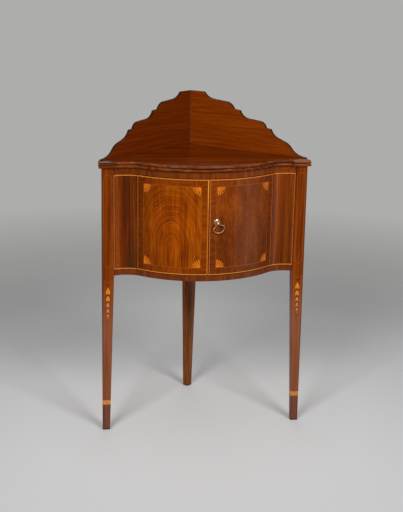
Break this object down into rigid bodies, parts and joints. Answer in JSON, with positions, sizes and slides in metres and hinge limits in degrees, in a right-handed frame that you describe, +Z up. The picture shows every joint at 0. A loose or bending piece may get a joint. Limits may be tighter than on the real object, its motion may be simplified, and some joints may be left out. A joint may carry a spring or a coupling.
{
  "type": "corner washstand",
  "caption": "Corner washstand with a bow and hollow front, curved inlaid doors, tapered legs, a reeded top and stepped splash boards.",
  "frame": {"origin": "middle of the footprint, on the floor", "axes": "+Z up, front towards -Y, the corner of the walls towards +Y, +X to the right as seen from the front"},
  "size_m": [0.578, 0.405, 0.926],
  "materials": {
    "mahogany": "polished",
    "figured_mahogany": "polished",
    "dark_mahogany": "polished",
    "inner_wood": "matt",
    "satinwood": "polished",
    "brass": "aged"
  },
  "bodies": {
    "root": {"leg_front_left": "mahogany", "cuff_left": "satinwood", "stile_string_left": "satinwood", "leg_string_left": "satinwood", "bellflowers_left": "satinwood", "side_board_left": "inner_wood", "floor_cleat_left": "inner_wood", "glue_block_left": "inner_wood", "fixed_panel_left": "dark_mahogany", "panel_edging_left": "satinwood", "splash_screw_left": "brass", "rail_hinge_left_top": "brass", "rail_hinge_left_bottom": "brass", "leg_front_right": "mahogany", "cuff_right": "satinwood", "stile_string_right": "satinwood", "leg_string_right": "satinwood", "bellflowers_right": "satinwood", "side_board_right": "inner_wood", "floor_cleat_right": "inner_wood", "glue_block_right": "inner_wood", "fixed_panel_right": "dark_mahogany", "panel_edging_right": "satinwood", "splash_screw_right": "brass", "rail_hinge_right_top": "brass", "rail_hinge_right_bottom": "brass", "leg_back": "mahogany", "cabinet_floor": "inner_wood", "door_stop": "inner_wood", "rail_top": "mahogany", "rail_bottom": "mahogany", "top_board": "mahogany", "splash_board_left": "dark_mahogany", "splash_board_right": "mahogany", "bolt_keeper": "brass"},
    "door_left": {"door_left": "figured_mahogany", "door_edging_left": "satinwood", "door_string_left": "satinwood", "fan_left_bottom_left": "satinwood", "fan_left_bottom_right": "satinwood", "fan_left_top_right": "satinwood", "fan_left_top_left": "satinwood", "door_hinge_left_top": "brass", "door_hinge_left_bottom": "brass", "bolt_plate": "brass"},
    "bolt": {"bolt_bar": "brass"},
    "door_right": {"door_right": "figured_mahogany", "door_edging_right": "satinwood", "door_string_right": "satinwood", "fan_right_bottom_left": "satinwood", "fan_right_bottom_right": "satinwood", "fan_right_top_right": "satinwood", "fan_right_top_left": "satinwood", "door_hinge_right_top": "brass", "door_hinge_right_bottom": "brass", "pull_rosette": "brass", "latch_bush": "brass"},
    "latch": {"pull_post": "brass", "latch_finger": "brass"},
    "pull_ring": {"pull_ring": "brass"}
  },
  "joints": [
    {"name": "door_left_hinge", "type": "hinge", "parent": "root", "child": "door_left", "pos_m": [-0.1686, -0.11416, 0.6036], "axis": [0, 0, -1], "range_deg": [0, 95]},
    {"name": "door_right_hinge", "type": "hinge", "parent": "root", "child": "door_right", "pos_m": [0.1686, -0.11416, 0.6036], "axis": [0, 0, 1], "range_deg": [0, 95]},
    {"name": "bolt_slide", "type": "slide", "parent": "door_left", "child": "bolt", "axis": [0, 0, 1], "range_m": [0, 0.01]},
    {"name": "latch_turn", "type": "hinge", "parent": "door_right", "child": "latch", "pos_m": [0.01918, -0.18251, 0.61901], "axis": [0.0713, -0.9975, 0], "range_deg": [-17, 73]},
    {"name": "ring_swing", "type": "hinge", "parent": "latch", "child": "pull_ring", "pos_m": [0.0196, -0.18849, 0.61901], "axis": [-0.9539, -0.0682, -0.2924], "range_deg": [-4, 85]}
  ]
}
